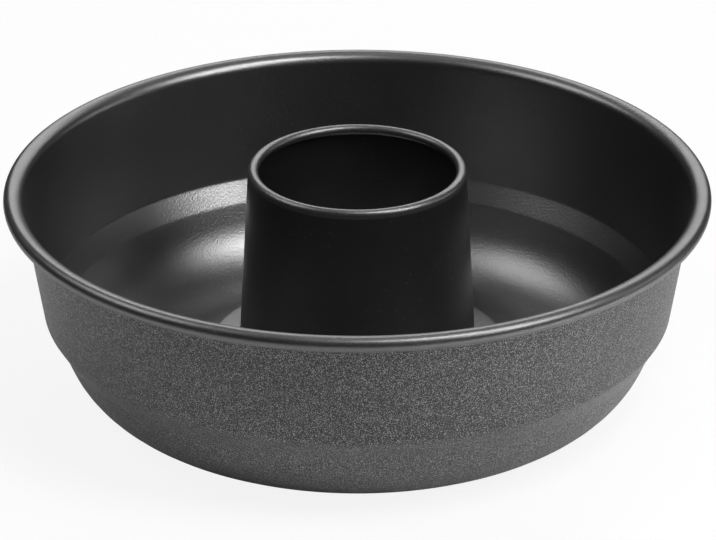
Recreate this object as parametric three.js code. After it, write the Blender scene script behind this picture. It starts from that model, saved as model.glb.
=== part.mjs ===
// Ring cake pan: a deep-drawn shell of coated steel sheet, a tapered centre tube locked into the shell's
// raised floor, and a steel wire inside the rolled rim.
// Millimetres, +Z up. The origin is the middle of the face that the pan stands on.
import * as THREE from "three";

// Sheet and fits. Every bend below is the inside radius of the bent sheet.
const SHEET = 0.6; // thickness of the coated sheet
const SEAT_GAP = 0.3; // left between two pieces that touch

// Centre tube, measured on its outside
const TUBE_RISE = 6.4; // top of the tube above the top of the rim
const TUBE_TOP_RADIUS = 42; // the tube's side, carried on to its top
const TUBE_FLOOR_RADIUS = 46.4; // the tube's side at the raised floor
const LIP_BEND = 1.35; // lip that rolls inwards at the top
const HOOK_HEIGHT = 3.2; // foot that turns up outside the collar
const HOOK_BEND = 0.5;

// Shell, measured on the face that the dough touches
const PAN_HEIGHT = 86; // standing face to the top of the rim
const COLLAR_DEPTH = 5.5; // collar that hangs from the edge of the hole
const COLLAR_BEND = 0.6;
const FLOOR_HEIGHT = 15; // raised floor round the tube
const FLOOR_WIDTH = 12.6; // from the tube to the floor's edge
const FLOOR_BEND = 1.4;
const INNER_SLOPE_WIDTH = 10; // floor's edge to the foot of the slope
const TROUGH_BEND = 12;
const BOWL_WIDTH = 11.2; // how far the bowl's side leans in
const BOWL_BEND = 32.4;
const STEP_HEIGHT = 28.2; // where the bowl meets the slanted step
const STEP_WIDTH = 5.2;
const STEP_BEND = 6;
const SHOULDER_HEIGHT = 36.8; // where the step meets the wall
const SHOULDER_BEND = 3.5;
const WALL_LEAN = 7.4; // how far the wall leans in from the mouth to the shoulder
const MOUTH_RADIUS = 128.8; // the wall, carried on to the top of the rim

// Rolled rim and the wire inside it
const FLARE_BEND = 4.1; // wall to rim
const CROWN_WIDTH = 0.2; // flat top of the rim
const ROLL_END = 3.2; // end of the roll above its lowest point
const WIRE_DIAMETER = 4;

// Facets
const SEGMENTS = 48; // round the axis, a multiple of 4
const WIRE_SIDES = 10;
const FACET_ERROR = 0.15; // farthest that a facet lies from its arc
const SAME_POINT = 1e-6; // stations closer than this are one

// Sizes that follow from the ones above
const tubeTop = PAN_HEIGHT + TUBE_RISE;
const collarFoot = FLOOR_HEIGHT - COLLAR_DEPTH;
const floorRadius = TUBE_FLOOR_RADIUS + FLOOR_WIDTH;
const troughRadius = floorRadius + INNER_SLOPE_WIDTH;
const shoulderRadius = MOUTH_RADIUS - WALL_LEAN;
const stepRadius = shoulderRadius - STEP_WIDTH;
const bowlRadius = stepRadius - BOWL_WIDTH;
const curlBend = WIRE_DIAMETER / 2 + SEAT_GAP; // the roll goes round the wire
const rollDiameter = 2 * (curlBend + SHEET);
const flareTurn = Math.atan2(PAN_HEIGHT - SHOULDER_HEIGHT, WALL_LEAN);
const flareReach = (FLARE_BEND + SHEET) * Math.tan(flareTurn / 2);
const rimRadius = MOUTH_RADIUS + flareReach + CROWN_WIDTH + rollDiameter / 2;
const rimFoot = PAN_HEIGHT - rollDiameter;

const tubeSlope = (TUBE_FLOOR_RADIUS - TUBE_TOP_RADIUS) / (tubeTop - FLOOR_HEIGHT);
const tubeRadiusAt = (z) => TUBE_TOP_RADIUS + tubeSlope * (tubeTop - z);
const collarRadiusAt = (z) => tubeRadiusAt(z) + SEAT_GAP;

const RIGHT = 1;
const LEFT = -1;

const unit = (heading) => new THREE.Vector2(Math.cos(heading), Math.sin(heading));
const rightOf = (heading) => new THREE.Vector2(Math.sin(heading), -Math.cos(heading));

// Stations, each a point and a heading, along a line of corners [r, z, bend] whose inner corners are rounded.
// The sheet lies on the given side of the line. A bend is made smaller where its straights are too short.
function bentLine(corners, side) {
  const points = corners.map(([r, z]) => new THREE.Vector2(r, z));
  const runs = points.slice(1).map((point, i) => point.clone().sub(points[i]));
  const headings = runs.map((run) => run.angle());
  const turns = headings.slice(1).map((heading, i) => {
    const turn = heading - headings[i];
    return Math.atan2(Math.sin(turn), Math.cos(turn));
  });
  const radii = turns.map((turn, i) => corners[i + 1][2] + (turn * side < 0 ? SHEET : 0));
  const reaches = turns.map((turn, i) => radii[i] * Math.tan(Math.abs(turn) / 2));
  const room = runs.map((run, i) => {
    const wanted = (reaches[i - 1] ?? 0) + (reaches[i] ?? 0);
    return Math.min(1, run.length() / wanted);
  });

  const stations = [{ point: points[0], heading: headings[0] }];
  turns.forEach((turn, i) => {
    const share = Math.min(room[i], room[i + 1]);
    const radius = radii[i] * share;
    const start = points[i + 1].clone().addScaledVector(unit(headings[i]), -reaches[i] * share);
    const centre = start.clone().addScaledVector(rightOf(headings[i]), -Math.sign(turn) * radius);
    const stepAngle = 2 * Math.acos(Math.max(0, 1 - FACET_ERROR / radius));
    const steps = Math.max(2, Math.ceil(Math.abs(turn) / stepAngle));
    for (let k = 0; k <= steps; k++) {
      const heading = headings[i] + (turn * k) / steps;
      const point = centre.clone().addScaledVector(rightOf(heading), Math.sign(turn) * radius);
      stations.push({ point, heading });
    }
  });
  stations.push({ point: points.at(-1), heading: headings.at(-1) });
  return stations.filter(({ point }, i) => i === 0 || point.distanceTo(stations[i - 1].point) > SAME_POINT);
}

// Closed section of a sheet whose one face follows the corners and whose thickness lies on the given side.
function sheetSection(corners, side) {
  const stations = bentLine(corners, side);
  const face = stations.map(({ point }) => point);
  const back = stations.map(({ point, heading }) =>
    point.clone().addScaledVector(rightOf(heading), side * SHEET),
  );
  const section = side === RIGHT ? [...back, ...face.reverse()] : [...face, ...back.reverse()];
  return [...section, section[0]];
}

// Solid of a section turned about the Z axis.
function turned(section) {
  return new THREE.LatheGeometry(section, SEGMENTS).rotateX(Math.PI / 2);
}

// The line runs on the dough's side, from the collar's lower edge out to the end of the rim's roll.
function panShell() {
  return turned(
    sheetSection(
      [
        [collarRadiusAt(collarFoot), collarFoot],
        [collarRadiusAt(FLOOR_HEIGHT), FLOOR_HEIGHT, COLLAR_BEND],
        [floorRadius, FLOOR_HEIGHT, FLOOR_BEND],
        [troughRadius, SHEET, TROUGH_BEND],
        [bowlRadius, SHEET, BOWL_BEND],
        [stepRadius, STEP_HEIGHT, STEP_BEND],
        [shoulderRadius, SHOULDER_HEIGHT, SHOULDER_BEND],
        [MOUTH_RADIUS, PAN_HEIGHT, FLARE_BEND],
        [rimRadius, PAN_HEIGHT, curlBend],
        [rimRadius, rimFoot, curlBend],
        [rimRadius - rollDiameter, rimFoot, curlBend],
        [rimRadius - rollDiameter, rimFoot + ROLL_END],
      ],
      RIGHT,
    ),
  );
}

// The line runs on the tube's outside, from the hook round the collar up to the end of the rolled lip.
function centerTube() {
  const hookFloor = collarFoot - SEAT_GAP;
  const hookRadius = collarRadiusAt(collarFoot) + SHEET + SEAT_GAP;
  const lipDiameter = 2 * (LIP_BEND + SHEET);
  const lipInside = TUBE_TOP_RADIUS - lipDiameter;
  return turned(
    sheetSection(
      [
        [hookRadius, hookFloor + HOOK_HEIGHT],
        [hookRadius, hookFloor, HOOK_BEND],
        [tubeRadiusAt(hookFloor), hookFloor, HOOK_BEND],
        [TUBE_TOP_RADIUS, tubeTop, LIP_BEND],
        [lipInside, tubeTop, LIP_BEND],
        [lipInside, tubeTop - lipDiameter, LIP_BEND],
        [TUBE_TOP_RADIUS - SHEET - SEAT_GAP, tubeTop - lipDiameter],
      ],
      LEFT,
    ),
  );
}

// The wire lies in the middle of the roll.
function rimWire() {
  const ringRadius = rimRadius - rollDiameter / 2;
  const height = PAN_HEIGHT - rollDiameter / 2;
  return new THREE.TorusGeometry(ringRadius, WIRE_DIAMETER / 2, WIRE_SIDES, SEGMENTS).translate(0, 0, height);
}

const shellCoating = new THREE.MeshStandardMaterial({ color: 0x4a4a4b, roughness: 0.48, metalness: 0.55 });
const tubeCoating = new THREE.MeshStandardMaterial({ color: 0x1f1f20, roughness: 0.42, metalness: 0.3 });
const bareSteel = new THREE.MeshStandardMaterial({ color: 0xb4b4b2, roughness: 0.35, metalness: 1 });

function piece(name, geometry, material) {
  const mesh = new THREE.Mesh(geometry, material);
  mesh.name = name;
  return mesh;
}

const ringCakePan = new THREE.Group();
ringCakePan.add(
  piece("pan_shell", panShell(), shellCoating),
  piece("center_tube", centerTube(), tubeCoating),
  piece("rim_wire", rimWire(), bareSteel),
);

export default ringCakePan;
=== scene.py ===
"""Ring cake pan: a stepped shell of coated sheet, a tapered tube in its middle and a wire in its rolled rim.

The file is laid out as an add-on and run as a script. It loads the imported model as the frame, registers its
classes, and models each piece with one operator.
"""
import math

import bpy
from bpy.props import FloatProperty, FloatVectorProperty, IntProperty, PointerProperty
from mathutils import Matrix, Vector


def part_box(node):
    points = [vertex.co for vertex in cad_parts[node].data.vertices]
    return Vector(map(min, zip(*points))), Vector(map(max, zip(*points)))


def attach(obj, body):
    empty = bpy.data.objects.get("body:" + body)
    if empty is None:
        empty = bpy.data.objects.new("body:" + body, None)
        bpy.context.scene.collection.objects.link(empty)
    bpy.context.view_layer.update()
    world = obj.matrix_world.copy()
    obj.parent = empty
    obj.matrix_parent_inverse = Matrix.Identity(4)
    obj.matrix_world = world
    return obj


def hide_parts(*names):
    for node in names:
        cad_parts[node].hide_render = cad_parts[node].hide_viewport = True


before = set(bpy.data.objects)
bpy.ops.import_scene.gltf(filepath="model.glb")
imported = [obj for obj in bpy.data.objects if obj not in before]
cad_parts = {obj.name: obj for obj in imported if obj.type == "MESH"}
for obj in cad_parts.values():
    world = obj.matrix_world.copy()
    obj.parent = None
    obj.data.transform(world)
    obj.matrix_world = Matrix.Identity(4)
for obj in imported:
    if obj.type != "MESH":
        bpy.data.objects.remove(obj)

bl_info = {
    "name": "Ring Cake Pan",
    "version": (1, 0, 0),
    "blender": (4, 5, 0),
    "location": "3D View > Sidebar > Ring Pan",
    "description": "Models a coated ring cake pan and a plain studio for it",
    "category": "Object",
}

RAW_EDGE_ANGLE = math.radians(60)
RAW_EDGE_SEGMENTS = 2
SMOOTH_ANGLE = math.radians(40)
WELD_DISTANCE = 1e-6
PLACE_TOLERANCE = 1e-4

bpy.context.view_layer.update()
SHELL_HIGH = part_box("pan_shell")[1]
TUBE_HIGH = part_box("center_tube")[1]
WIRE_LOW, WIRE_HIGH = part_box("rim_wire")


def length(name, description, default):
    """A size in metres."""
    return FloatProperty(
        name=name, description=description, default=default, min=0, precision=5, unit="LENGTH",
    )


def angle(name, description, degrees):
    """An angle that the panel shows in degrees."""
    return FloatProperty(name=name, description=description, default=math.radians(degrees), subtype="ANGLE")


def share(name, description, default):
    """A number from 0 to 1."""
    return FloatProperty(name=name, description=description, default=default, min=0, max=1, subtype="FACTOR")


def colour(name, description, default):
    """A linear colour."""
    return FloatVectorProperty(
        name=name, description=description, default=default, size=3, min=0, max=1, subtype="COLOR",
    )


def spot(name, description, default):
    """A place or a direction in the frame."""
    return FloatVectorProperty(name=name, description=description, default=default, size=3, subtype="XYZ")


class SheetSizes(bpy.types.PropertyGroup):
    """What both pieces of sheet share."""

    sheet: length("Sheet", "Thickness of the coated sheet", 0.0006)
    seat_gap: length("Seat gap", "Room between two pieces that touch", 0.0003)
    raw_edge: length("Raw edge", "How far the cut edges of the sheet are rounded", 0.00012)
    holding: length("Holding edge", "From a bend to the ring of edges that keeps its straight flat", 0.0012)
    bend_step: angle("Bend step", "Turn between two rings of edges in a bend", 6)
    round_steps: IntProperty(name="Round steps", description="Facets round the pan", default=192, min=24)


class ShellSizes(bpy.types.PropertyGroup):
    """The shell's section on the face that the dough touches. Bends are inside radii of the sheet."""

    height: length("Height", "Standing face to the top of the rim", SHELL_HIGH.z)
    collar_depth: length("Collar depth", "Collar that hangs from the edge of the hole", 0.0055)
    collar_bend: length("Collar bend", "Bend from the collar to the raised floor", 0.0006)
    floor_height: length("Floor height", "Raised floor round the tube", 0.015)
    floor_width: length("Floor width", "From the tube to the edge of the raised floor", 0.0126)
    floor_bend: length("Floor bend", "Bend at the edge of the raised floor", 0.0014)
    inner_slope_width: length("Inner slope", "From the floor's edge to the foot of its slope", 0.010)
    trough_bend: length("Trough bend", "Bend at the foot of the inner slope", 0.012)
    bowl_width: length("Bowl width", "How far the bowl's side leans in", 0.0112)
    bowl_bend: length("Bowl bend", "Bend from the standing ring to the bowl's side", 0.0324)
    step_height: length("Step height", "Where the bowl meets the slanted step", 0.0282)
    step_width: length("Step width", "How far the step leans in", 0.0052)
    step_bend: length("Step bend", "Bend from the bowl to the step", 0.006)
    shoulder_height: length("Shoulder height", "Where the step meets the wall", 0.0368)
    shoulder_bend: length("Shoulder bend", "Bend from the step to the wall", 0.0035)
    wall_lean: length("Wall lean", "How far the wall leans in from the mouth to the shoulder", 0.0074)
    mouth_radius: length("Mouth radius", "The wall, carried on to the top of the rim", 0.1288)


class RimSizes(bpy.types.PropertyGroup):
    """The rolled rim and the wire in it."""

    radius: length("Rim radius", "Outside of the rolled rim", SHELL_HIGH.x)
    coating_edge: length("Coating edge", "Radius on the flare where the outer coating begins", 0.1297)
    flare_bend: length("Flare bend", "Bend from the wall to the rim", 0.0041)
    roll_end: length("Roll end", "End of the roll above its lowest point", 0.0032)
    wire_diameter: length("Wire", "Diameter of the wire in the roll", 0.004)
    wire_sides: IntProperty(name="Wire sides", description="Facets round the wire", default=28, min=6)


class TubeSizes(bpy.types.PropertyGroup):
    """The tapered tube, measured on its outside."""

    height: length("Height", "Standing face to the top of the tube", TUBE_HIGH.z)
    top_radius: length("Top radius", "The tube's side, carried on to its top", 0.042)
    floor_radius: length("Floor radius", "The tube's side at the raised floor", 0.0464)
    lip_bend: length("Lip bend", "Lip that rolls inwards at the top", 0.00135)
    hook_height: length("Hook height", "Foot that turns up outside the collar", 0.0032)
    hook_bend: length("Hook bend", "Turns of the foot", 0.0005)


class CoatingSettings(bpy.types.PropertyGroup):
    """Colours and grain of the coatings."""

    outside_dark: colour("Outside pits", "Outer coating between its grains", (0.003, 0.003, 0.00305))
    outside_pale: colour("Outside grains", "Outer coating on its grains", (0.056, 0.056, 0.0567))
    flake: colour("Flake", "Metal flakes in the outer coating", (0.48, 0.48, 0.482))
    # Painted light: the four settings below make the outer coating paler below the shoulder, standing in for
    # light from the floor under it.
    painted_light_grains: share("Low grains", "Extra cover of grains below the shoulder", 0.5)
    painted_light_flakes: share("Low flakes", "Extra cover of metal flakes below the shoulder", 0.03)
    painted_light_start: length("Low start", "How far below the shoulder the extra cover begins to fade", 0.003)
    painted_light_end: length("Low end", "How far above the shoulder it ends", 0.002)
    rim_dark: colour("Rim pits", "Coating of the rim and the lip between its grains", (0.008, 0.008, 0.0081))
    rim_pale: colour("Rim grains", "The same on its grains", (0.034, 0.034, 0.0344))
    inside: colour("Inside", "Non-stick coating of the shell's inside", (0.002, 0.002, 0.00203))
    tube: colour("Tube", "Smooth coating of the tube", (0.006, 0.006, 0.0062))
    fleck: colour("Fleck", "Metal flecks in the inner coatings", (0.08, 0.08, 0.08))
    steel: colour("Steel", "Bare drawn wire", (0.55, 0.55, 0.54))
    steel_dull: colour("Dull steel", "The same between its drawing marks", (0.44, 0.44, 0.432))
    grain_size: length("Grain size", "Width of one grain of the outer coating", 0.00021)
    grain_depth: length("Grain depth", "Relief of those grains", 0.00013)
    flake_size: length("Flake size", "Width of one metal flake in the outer coating", 0.00019)
    rim_grain_size: length("Rim grain size", "Width of one grain of the rim's coating", 0.0007)
    rim_grain_depth: length("Rim grain depth", "Relief of those grains", 0.00007)
    inside_texture_size: length("Inside texture size", "Width of one lump of the inner coating", 0.0008)
    inside_texture_depth: length("Inside texture depth", "Relief of those lumps", 0.00008)
    tube_texture_size: length("Tube texture size", "Width of one lump of the tube's coating", 0.0009)
    tube_texture_depth: length("Tube texture depth", "Relief of those lumps", 0.00002)
    fleck_size: length("Fleck size", "Width of one fleck in the inner coatings", 0.0004)
    mark_size: length("Mark size", "Width of the wire's drawing marks", 0.0005)
    mark_depth: length("Mark depth", "Relief of those marks", 0.00001)
    outside_cloud: length("Outside cloud", "Width of a duller patch of the outer coating", 0.03)
    rim_cloud: length("Rim cloud", "Width of a duller patch of the rim's coating", 0.01)
    inside_cloud: length("Inside cloud", "Width of a duller patch of the inner coating", 0.02)
    tube_cloud: length("Tube cloud", "Width of a duller patch of the tube's coating", 0.015)


class StageSettings(bpy.types.PropertyGroup):
    """The photographer's paper, room and camera."""

    floor_size: length("Floor size", "Side of the floor", 16)
    backdrop_distance: length("Backdrop distance", "From the pan's axis to the backdrop", 6)
    backdrop_height: length("Backdrop height", "How far the paper runs up behind the pan", 2.6)
    backdrop_bend: length("Backdrop bend", "Sweep from the floor to the backdrop", 0.8)
    paper_gap: length("Paper gap", "Room between the pan's foot and the paper", 0.0001)
    paper: colour("Paper", "Pale floor and backdrop", (0.92, 0.92, 0.92))
    paper_fibre: colour("Paper fibre", "The same between its fibres", (0.8924, 0.8924, 0.8924))
    fibre_size: length("Fibre size", "Width of the paper's fibres", 0.002)
    paper_bounce: colour("Paper bounce", "The paper near the pan, as it lights it", (0.88, 0.88, 0.88))
    far_bounce: colour("Far bounce", "The paper beyond that, as it lights the pan", (0.05, 0.05, 0.05))
    near_radius: length("Near radius", "How far from the pan's axis the paper lights it", 0.30)
    near_fade: length("Near fade", "Width over which that light ends", 0.15)
    paper_glow: share("Paper glow", "How much of the paper's white doesn't depend on the lamps", 0.88)
    paper_shine: share("Paper shine", "The same in reflections", 0.05)
    surround: share("Surround", "Brightness of the room", 0.005)
    room_shine: share("Room shine", "How much of the room's white shows in reflections", 0.006)
    camera_tilt: angle("Camera tilt", "How far the camera looks down", 25.731)
    camera_distance: length("Camera distance", "From the camera to what it aims at", 1.4155)
    camera_aim: spot("Camera aim", "Middle of the picture", (0.00026, 0, 0.04818))
    focal_length: FloatProperty(
        name="Focal length", description="Lens on a 36 mm wide sensor", default=182.8, unit="CAMERA",
    )


class RingPanSettings(bpy.types.PropertyGroup):
    """All sizes, colours and settings of the pan."""

    sheet: PointerProperty(type=SheetSizes)
    shell: PointerProperty(type=ShellSizes)
    rim: PointerProperty(type=RimSizes)
    tube: PointerProperty(type=TubeSizes)
    coatings: PointerProperty(type=CoatingSettings)
    stage: PointerProperty(type=StageSettings)


class Signal:
    """One output of a node. Arithmetic on it adds Math nodes to its finish."""

    def __init__(self, finish, socket):
        self.finish = finish
        self.socket = socket

    def maths(self, operation, first, second):
        return self.finish.node("ShaderNodeMath", {"operation": operation}, {0: first, 1: second})

    def __add__(self, other):
        return self.maths("ADD", self, other)

    def __radd__(self, other):
        return self.maths("ADD", other, self)

    def __sub__(self, other):
        return self.maths("SUBTRACT", self, other)

    def __rsub__(self, other):
        return self.maths("SUBTRACT", other, self)

    def __mul__(self, other):
        return self.maths("MULTIPLY", self, other)

    def __rmul__(self, other):
        return self.maths("MULTIPLY", other, self)


class Finish:
    """The node tree of a material or of the world."""

    def __init__(self, owner):
        owner.use_nodes = True
        self.tree = owner.node_tree
        self.tree.nodes.clear()

    def node(self, kind, settings=None, sockets=None, output=0):
        """Adds a node, sets it up, fills its sockets and gives back one of its outputs."""
        node = self.tree.nodes.new(kind)
        for name, value in (settings or {}).items():
            setattr(node, name, value)
        for name, value in (sockets or {}).items():
            if isinstance(value, Signal):
                self.tree.links.new(value.socket, node.inputs[name])
            else:
                node.inputs[name].default_value = value
        return Signal(self, node.outputs[output]) if node.outputs else None

    def place(self):
        return self.node("ShaderNodeTexCoord", output="Object")

    def height(self):
        return self.node("ShaderNodeSeparateXYZ", sockets={0: self.place()}, output="Z")

    def noise(self, size, detail, roughness=0.5):
        """Cloudy grain whose lumps are about as wide as size, in metres."""
        sockets = {"Vector": self.place(), "Scale": 1 / size, "Detail": detail, "Roughness": roughness}
        return self.node("ShaderNodeTexNoise", {"normalize": True}, sockets)

    def flakes(self, size):
        """A random value for every flake of this size, in metres."""
        sockets = {"Vector": self.place(), "Scale": 1 / size}
        cells = self.node("ShaderNodeTexVoronoi", sockets=sockets, output="Color")
        return self.node("ShaderNodeSeparateColor", sockets={0: cells})

    def ramp(self, value, low, high):
        """0 below low, 1 above high, smooth between them."""
        sockets = {"Value": value, "From Min": low, "From Max": high}
        return self.node("ShaderNodeMapRange", {"interpolation_type": "SMOOTHSTEP"}, sockets)

    def blend(self, mask, first, second):
        """Mixes two colours, given as three numbers or as a signal."""
        first, second = (c if isinstance(c, Signal) else (*c, 1) for c in (first, second))
        return self.node("ShaderNodeMix", {"data_type": "RGBA"}, {0: mask, 6: first, 7: second}, output=2)

    def bump(self, height, depth):
        return self.node("ShaderNodeBump", sockets={"Height": height, "Distance": depth, "Strength": 1.0})

    def white_to_eye(self, glow, shine):
        """Tells the camera's rays from others, and how white each kind sees a surface.

        glow is that share for the camera and shine the share in reflections.
        """
        rays = ("Is Camera Ray", "Is Glossy Ray", "Is Transmission Ray")
        direct, glossy, through = (self.node("ShaderNodeLightPath", output=ray) for ray in rays)
        return direct, direct * glow + (glossy + through) * shine

    def surface(self, **sockets):
        """A Principled surface. Socket names have _ for a space."""
        sockets = {name.replace("_", " "): value for name, value in sockets.items()}
        shader = self.node("ShaderNodeBsdfPrincipled", sockets=sockets)
        self.node("ShaderNodeOutputMaterial", sockets={"Surface": shader})


def new_finish(name):
    material = bpy.data.materials.new(name)
    return material, Finish(material)


def outside_coating(coatings, shoulder):
    """Charcoal coating full of fine metal flakes, with painted light below the shoulder: paler there,
    standing in for light from the floor.
    """
    material, finish = new_finish("grained_charcoal")
    grains = finish.noise(coatings.grain_size, detail=2, roughness=0.65)
    clouds = finish.noise(coatings.outside_cloud, detail=3)
    # Painted light: low is 1 below the shoulder, where extra grains and metal flakes make the coating paler
    # in place of light from the floor.
    low = 1 - finish.ramp(finish.height(), shoulder - coatings.painted_light_start, shoulder + coatings.painted_light_end)
    flakes = finish.flakes(coatings.flake_size) + coatings.painted_light_flakes * low
    metal = finish.ramp(flakes, low=0.77, high=0.94)
    raised = finish.ramp(grains, low=0.40, high=0.60)
    cover = raised + coatings.painted_light_grains * low + 0.08 * (clouds - 0.5)
    charcoal = finish.blend(cover, coatings.outside_dark, coatings.outside_pale)
    finish.surface(
        Base_Color=finish.blend(metal, charcoal, coatings.flake),
        Metallic=metal,
        Roughness=0.38 + 0.10 * (clouds - 0.5),
        Normal=finish.bump(grains, coatings.grain_depth),
    )
    return material


def rim_coating(coatings):
    """Dark coating of the rim and the lip, smoother than the outside's."""
    material, finish = new_finish("smooth_charcoal")
    grains = finish.noise(coatings.rim_grain_size, detail=2)
    clouds = finish.noise(coatings.rim_cloud, detail=3)
    raised = finish.ramp(grains, low=0.3, high=0.7)
    finish.surface(
        Base_Color=finish.blend(raised, coatings.rim_dark, coatings.rim_pale),
        IOR=1.72,
        Specular_IOR_Level=1.0,
        Roughness=0.37 + 0.08 * (clouds - 0.5),
        Normal=finish.bump(grains, coatings.rim_grain_depth),
    )
    return material


def inside_coating(coatings):
    """Black non-stick coating with a fine texture that breaks its highlights up, and a few metal flecks."""
    material, finish = new_finish("black_nonstick")
    texture = finish.noise(coatings.inside_texture_size, detail=2)
    clouds = finish.noise(coatings.inside_cloud, detail=3)
    flecks = finish.ramp(finish.flakes(coatings.fleck_size), low=0.990, high=0.998)
    finish.surface(
        Base_Color=finish.blend(flecks, coatings.inside, coatings.fleck),
        IOR=1.9,
        Specular_IOR_Level=1.0,
        Roughness=0.35 + 0.05 * (clouds - 0.5),
        Normal=finish.bump(texture, coatings.inside_texture_depth),
    )
    return material


def tube_coating(coatings):
    """Smooth satin black coating with fine flecks."""
    material, finish = new_finish("satin_black")
    texture = finish.noise(coatings.tube_texture_size, detail=1.5)
    clouds = finish.noise(coatings.tube_cloud, detail=3)
    flecks = finish.ramp(finish.flakes(coatings.fleck_size), low=0.995, high=0.999)
    finish.surface(
        Base_Color=finish.blend(flecks, coatings.tube, coatings.fleck),
        IOR=1.56,
        Specular_IOR_Level=1.0,
        Roughness=0.36 + 0.06 * (clouds - 0.5),
        Normal=finish.bump(texture, coatings.tube_texture_depth),
    )
    return material


def drawn_steel(coatings):
    """Plain steel wire with faint drawing marks."""
    material, finish = new_finish("drawn_steel")
    marks = finish.noise(coatings.mark_size, detail=3)
    finish.surface(
        Base_Color=finish.blend(marks, coatings.steel_dull, coatings.steel),
        Metallic=1.0,
        Roughness=0.30 + 0.15 * marks,
        Normal=finish.bump(marks, coatings.mark_depth),
    )
    return material


def start_line(name, place):
    """Begins a section with one vertex in the XZ plane, and stays in edit mode."""
    bpy.ops.object.select_all(action="DESELECT")
    bpy.ops.mesh.primitive_plane_add(size=0.01, enter_editmode=True)
    piece = bpy.context.active_object
    piece.name = piece.data.name = name
    bpy.ops.mesh.merge(type="CENTER")
    bpy.ops.transform.translate(value=(place.x, 0, place.y))
    return piece


def extrude_by(step):
    """Extrudes the selected end of the section by a step in r and z."""
    bpy.ops.mesh.extrude_region_move(TRANSFORM_OT_translate={"value": (step.x, 0, step.y)})


def draw_section(name, corners, sizes, inner_turn):
    """Draws a line through corners of (r, z, inside bend) and spins a bend at each.

    The sheet's thickness lies inside the bends whose turn has the sign of inner_turn, so there the drawn
    face has the larger radius. The first and the last corner are ends and have no bend.
    """
    places = [Vector(corner[:2]) for corner in corners]
    runs = [end - start for start, end in zip(places, places[1:])]
    turns = [-before.angle_signed(after) for before, after in zip(runs, runs[1:])]
    radii = [
        corner[2] + (sizes.sheet if turn * inner_turn > 0 else 0) for corner, turn in zip(corners[1:], turns)
    ]
    reaches = [0, *(radius * math.tan(abs(turn) / 2) for radius, turn in zip(radii, turns)), 0]

    piece = start_line(name, places[0])
    for i, run in enumerate(runs):
        heading = run.normalized()
        straight = run.length - reaches[i] - reaches[i + 1]
        holding = min(sizes.holding, straight / 4)
        for step in (holding, straight - 2 * holding, holding):
            extrude_by(heading * step)
        if i < len(turns):
            side = math.copysign(radii[i], turns[i])
            start = places[i + 1] - heading * reaches[i + 1]
            centre = start + Vector((-heading.y, heading.x)) * side
            steps = max(3, math.ceil(abs(turns[i]) / sizes.bend_step))
            bpy.ops.mesh.spin(steps=steps, angle=turns[i], center=(centre.x, 0, centre.y), axis=(0, 1, 0))
    return piece


def spin_round(steps):
    """Spins what is selected into a full ring about the Z axis and closes its seam."""
    bpy.ops.mesh.select_all(action="SELECT")
    bpy.ops.mesh.spin(steps=steps, angle=math.tau, center=(0, 0, 0), axis=(0, 0, 1))
    bpy.ops.mesh.select_all(action="SELECT")
    bpy.ops.mesh.remove_doubles(threshold=WELD_DISTANCE)
    bpy.ops.mesh.normals_make_consistent(inside=False)


def thicken(piece, sizes, looks_up):
    """Gives a spun face the sheet's thickness behind it and rounds the sheet's cut edges.

    looks_up, min or max, finds by its height a face that must look up.
    """
    bpy.ops.object.mode_set(mode="OBJECT")
    if looks_up(piece.data.polygons, key=lambda face: face.center.z).normal.z < 0:
        bpy.ops.object.mode_set(mode="EDIT")
        bpy.ops.mesh.flip_normals()
        bpy.ops.object.mode_set(mode="OBJECT")
    wall = piece.modifiers.new("sheet", "SOLIDIFY")
    wall.thickness = sizes.sheet
    wall.offset = -1
    wall.use_even_offset = True
    wall.material_offset = wall.material_offset_rim = 1
    bpy.ops.object.modifier_apply(modifier=wall.name)
    edges = piece.modifiers.new("raw_edges", "BEVEL")
    edges.limit_method = "ANGLE"
    edges.angle_limit = RAW_EDGE_ANGLE
    edges.width = sizes.raw_edge
    edges.segments = RAW_EDGE_SEGMENTS
    bpy.ops.object.modifier_apply(modifier=edges.name)
    bpy.ops.object.shade_smooth_by_angle(angle=SMOOTH_ANGLE)


def seat(piece, node):
    """Puts a finished piece in the frame in place of its CAD node."""
    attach(piece, "root")
    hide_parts(node)


def tube_radius_at(tube, shell, height):
    slope = (tube.floor_radius - tube.top_radius) / (tube.height - shell.floor_height)
    return tube.top_radius + slope * (tube.height - height)


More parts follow.
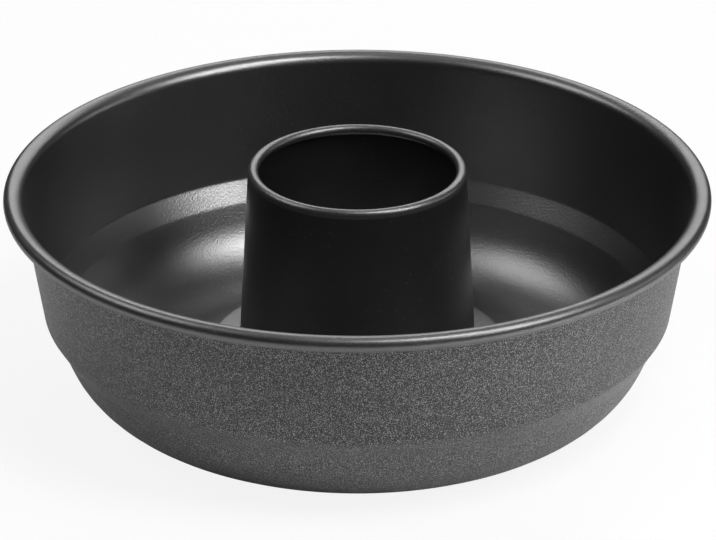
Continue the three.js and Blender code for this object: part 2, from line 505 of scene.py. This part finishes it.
class RINGPAN_OT_shell(bpy.types.Operator):
    """Model the stepped shell with its rolled rim"""

    bl_idname = "ringpan.shell"
    bl_label = "Shell"

    def execute(self, context):
        settings = context.scene.ring_pan
        sizes, shell, rim, tube = settings.sheet, settings.shell, settings.rim, settings.tube
        collar_foot = shell.floor_height - shell.collar_depth
        floor_radius = tube.floor_radius + shell.floor_width
        shoulder_radius = shell.mouth_radius - shell.wall_lean
        step_radius = shoulder_radius - shell.step_width
        bowl_radius = step_radius - shell.bowl_width
        roll_bend = rim.wire_diameter / 2 + sizes.seat_gap
        roll_diameter = 2 * (roll_bend + sizes.sheet)
        rim_foot = shell.height - roll_diameter
        corners = [
            (tube_radius_at(tube, shell, collar_foot) + sizes.seat_gap, collar_foot),
            (tube.floor_radius + sizes.seat_gap, shell.floor_height, shell.collar_bend),
            (floor_radius, shell.floor_height, shell.floor_bend),
            (floor_radius + shell.inner_slope_width, sizes.sheet, shell.trough_bend),
            (bowl_radius, sizes.sheet, shell.bowl_bend),
            (step_radius, shell.step_height, shell.step_bend),
            (shoulder_radius, shell.shoulder_height, shell.shoulder_bend),
            (shell.mouth_radius, shell.height, rim.flare_bend),
            (rim.radius, shell.height, roll_bend),
            (rim.radius, rim_foot, roll_bend),
            (rim.radius - roll_diameter, rim_foot, roll_bend),
            (rim.radius - roll_diameter, rim_foot + rim.roll_end),
        ]
        piece = draw_section("stepped_shell", corners, sizes, inner_turn=-1)
        spin_round(sizes.round_steps)
        piece.data.materials.append(inside_coating(settings.coatings))
        piece.data.materials.append(outside_coating(settings.coatings, shell.shoulder_height))
        piece.data.materials.append(rim_coating(settings.coatings))
        thicken(piece, sizes, looks_up=min)
        for face in piece.data.polygons:
            if face.center.xy.length > rim.coating_edge:
                face.material_index = 2
        seat(piece, "pan_shell")
        return {"FINISHED"}


class RINGPAN_OT_tube(bpy.types.Operator):
    """Model the tapered tube with its rolled lip and hooked foot"""

    bl_idname = "ringpan.tube"
    bl_label = "Tube"

    def execute(self, context):
        settings = context.scene.ring_pan
        sizes, shell, tube = settings.sheet, settings.shell, settings.tube
        collar_foot = shell.floor_height - shell.collar_depth
        hook_floor = collar_foot - sizes.seat_gap
        hook_radius = tube_radius_at(tube, shell, collar_foot) + 2 * sizes.seat_gap + sizes.sheet
        lip = 2 * (tube.lip_bend + sizes.sheet)
        corners = [
            (hook_radius, hook_floor + tube.hook_height),
            (hook_radius, hook_floor, tube.hook_bend),
            (tube_radius_at(tube, shell, hook_floor), hook_floor, tube.hook_bend),
            (tube.top_radius, tube.height, tube.lip_bend),
            (tube.top_radius - lip, tube.height, tube.lip_bend),
            (tube.top_radius - lip, tube.height - lip, tube.lip_bend),
            (tube.top_radius - sizes.sheet - sizes.seat_gap, tube.height - lip),
        ]
        piece = draw_section("tapered_tube", corners, sizes, inner_turn=1)
        spin_round(sizes.round_steps)
        piece.data.materials.append(tube_coating(settings.coatings))
        piece.data.materials.append(rim_coating(settings.coatings))
        thicken(piece, sizes, looks_up=max)
        for face in piece.data.polygons:
            face.material_index = int(face.center.z > tube.height - lip)
        seat(piece, "center_tube")
        return {"FINISHED"}


class RINGPAN_OT_wire(bpy.types.Operator):
    """Model the wire inside the rolled rim"""

    bl_idname = "ringpan.wire"
    bl_label = "Wire"

    def execute(self, context):
        settings = context.scene.ring_pan
        rim = settings.rim
        ring_radius = WIRE_HIGH.x - rim.wire_diameter / 2
        bpy.ops.object.select_all(action="DESELECT")
        bpy.ops.mesh.primitive_circle_add(
            vertices=rim.wire_sides, radius=rim.wire_diameter / 2, rotation=(math.pi / 2, 0, 0),
            location=(ring_radius, 0, (WIRE_LOW.z + WIRE_HIGH.z) / 2),
        )
        piece = context.active_object
        piece.name = piece.data.name = "drawn_wire"
        bpy.ops.object.transform_apply()
        bpy.ops.object.mode_set(mode="EDIT")
        spin_round(settings.sheet.round_steps)
        bpy.ops.object.mode_set(mode="OBJECT")
        bpy.ops.object.shade_smooth_by_angle(angle=SMOOTH_ANGLE)
        piece.data.materials.append(drawn_steel(settings.coatings))
        seat(piece, "rim_wire")
        return {"FINISHED"}


LAMP_DISTANCE = 2.0
# Azimuth and elevation in degrees, width and height in metres, power in watts
LAMPS = {
    "key_high": (-49, 66, 0.65, 0.45, 14.0),
    "key_low": (-31, 44, 0.65, 0.85, 18.0),
    "left_box": (173, 50, 1.2, 0.9, 9.8),
    "back_strip": (82, 33, 1.9, 0.8, 14.5),
    "top_box": (90, 75, 0.6, 0.6, 1.9),
    "right_card": (8, 12, 0.9, 0.5, 2.2),
}
FLOOR_LAMP_PLACE = Vector((0.44, -0.34, 0.6))
FLOOR_LAMP_SIDE = 0.4
FLOOR_LAMP_POWER = 2.5
FLOOR_LAMP_SPREAD = math.radians(50)


def add_lamp(name, place, aim, width, height, power, spread=math.pi):
    """A soft box that looks at a place. A small spread stands for a grid in front of it."""
    bpy.ops.object.light_add(type="AREA", location=place)
    lamp = bpy.context.active_object
    lamp.name = lamp.data.name = name
    lamp.rotation_euler = (aim - place).to_track_quat("-Z", "Y").to_euler()
    lamp.data.shape = "RECTANGLE"
    lamp.data.size, lamp.data.size_y = width, height
    lamp.data.energy = power
    lamp.data.spread = spread


def light_pan():
    """Soft boxes round the pan, and one over the floor beside it that mostly lights the paper."""
    for name, (azimuth, elevation, *setting) in LAMPS.items():
        turn, rise = math.radians(azimuth), math.radians(elevation)
        heading = Vector((math.cos(turn) * math.cos(rise), math.sin(turn) * math.cos(rise), math.sin(rise)))
        add_lamp(name, LAMP_DISTANCE * heading, Vector(), *setting)
    below = Vector((FLOOR_LAMP_PLACE.x, FLOOR_LAMP_PLACE.y, 0))
    add_lamp(
        "floor_lamp", FLOOR_LAMP_PLACE, below, FLOOR_LAMP_SIDE, FLOOR_LAMP_SIDE, FLOOR_LAMP_POWER,
        spread=FLOOR_LAMP_SPREAD,
    )


def paper_finish(stage):
    """Pale paper that looks white to the camera, keeps the pan's shadow and lights the pan from near it."""
    material, finish = new_finish("pale_paper")
    direct, seen = finish.white_to_eye(stage.paper_glow, stage.paper_shine)
    fibres = finish.noise(stage.fibre_size, detail=2)
    away = finish.node("ShaderNodeVectorMath", {"operation": "LENGTH"}, {0: finish.place()}, output="Value")
    far = finish.ramp(away, stage.near_radius, stage.near_radius + stage.near_fade)
    bounce = finish.blend(far, stage.paper_bounce, stage.far_bounce)
    pale = finish.blend(fibres, stage.paper_fibre, stage.paper)
    matt = finish.node("ShaderNodeBsdfDiffuse", sockets={"Color": finish.blend(direct, bounce, pale)})
    white = finish.node("ShaderNodeEmission", sockets={"Color": (1, 1, 1, 1), "Strength": 1.0})
    mixed = finish.node("ShaderNodeMixShader", sockets={0: seen, 1: matt, 2: white})
    finish.node("ShaderNodeOutputMaterial", sockets={"Surface": mixed})
    return material


def select_edges(piece, wanted):
    """In edit mode, selects only the edges whose two ends pass a test of their place."""
    bpy.ops.mesh.select_mode(type="EDGE")
    bpy.ops.mesh.select_all(action="DESELECT")
    bpy.ops.object.mode_set(mode="OBJECT")
    places = [vertex.co for vertex in piece.data.vertices]
    for edge in piece.data.edges:
        edge.select = all(wanted(places[i]) for i in edge.vertices)
    bpy.ops.object.mode_set(mode="EDIT")


def roll_out_paper(stage):
    """A floor that sweeps up into a backdrop behind the pan."""
    bpy.ops.object.select_all(action="DESELECT")
    bpy.ops.mesh.primitive_plane_add(size=stage.floor_size, enter_editmode=True)
    paper = bpy.context.active_object
    paper.name = paper.data.name = "paper_sweep"
    back = stage.backdrop_distance
    bpy.ops.transform.translate(value=(0, back - stage.floor_size / 2, -stage.paper_gap))
    select_edges(paper, lambda place: abs(place.y - back) < PLACE_TOLERANCE)
    bpy.ops.mesh.extrude_region_move(TRANSFORM_OT_translate={"value": (0, 0, stage.backdrop_height)})
    select_edges(paper, lambda place: abs(place.y - back) < PLACE_TOLERANCE and place.z < 0)
    bpy.ops.mesh.bevel(offset=stage.backdrop_bend, segments=16, affect="EDGES")
    bpy.ops.object.mode_set(mode="OBJECT")
    bpy.ops.object.shade_smooth()
    return paper


class RINGPAN_OT_stage(bpy.types.Operator):
    """Set up the floor, the soft boxes, the room and the camera"""

    bl_idname = "ringpan.stage"
    bl_label = "Stage"

    def execute(self, context):
        scene = context.scene
        stage = scene.ring_pan.stage
        paper = roll_out_paper(stage)
        paper.data.materials.append(paper_finish(stage))

        light_pan()

        scene.world = bpy.data.worlds.new("room")
        room = Finish(scene.world)
        _, seen = room.white_to_eye(1 - stage.surround, stage.room_shine)
        strength = stage.surround + seen
        light = room.node("ShaderNodeBackground", sockets={"Color": (1, 1, 1, 1), "Strength": strength})
        room.node("ShaderNodeOutputWorld", sockets={"Surface": light})

        tilt = stage.camera_tilt
        back = Vector((0, -math.cos(tilt), math.sin(tilt))) * stage.camera_distance
        place = Vector(stage.camera_aim) + back
        bpy.ops.object.camera_add(location=place, rotation=(math.pi / 2 - tilt, 0, 0))
        scene.camera = context.active_object
        scene.camera.data.lens = stage.focal_length
        scene.camera.data.clip_end = stage.floor_size
        scene.view_settings.view_transform = "Standard"
        return {"FINISHED"}


class RINGPAN_PT_panel(bpy.types.Panel):
    """Buttons and sizes of the ring pan"""

    bl_idname = "RINGPAN_PT_panel"
    bl_label = "Ring Cake Pan"
    bl_space_type = "VIEW_3D"
    bl_region_type = "UI"
    bl_category = "Ring Pan"

    def draw(self, context):
        for operator in OPERATORS:
            self.layout.operator(operator.bl_idname)
        settings = context.scene.ring_pan
        for part in settings.__annotations__:
            group = getattr(settings, part)
            box = self.layout.box()
            for name in group.__annotations__:
                box.prop(group, name)


GROUPS = (SheetSizes, ShellSizes, RimSizes, TubeSizes, CoatingSettings, StageSettings, RingPanSettings)
OPERATORS = (RINGPAN_OT_shell, RINGPAN_OT_tube, RINGPAN_OT_wire, RINGPAN_OT_stage)
CLASSES = (*GROUPS, *OPERATORS, RINGPAN_PT_panel)


def register():
    for cls in CLASSES:
        bpy.utils.register_class(cls)
    bpy.types.Scene.ring_pan = PointerProperty(type=RingPanSettings)


def unregister():
    del bpy.types.Scene.ring_pan
    for cls in reversed(CLASSES):
        bpy.utils.unregister_class(cls)


def main():
    register()
    bpy.ops.ringpan.shell()
    bpy.ops.ringpan.tube()
    bpy.ops.ringpan.wire()
    bpy.ops.ringpan.stage()


if __name__ == "__main__":
    main()
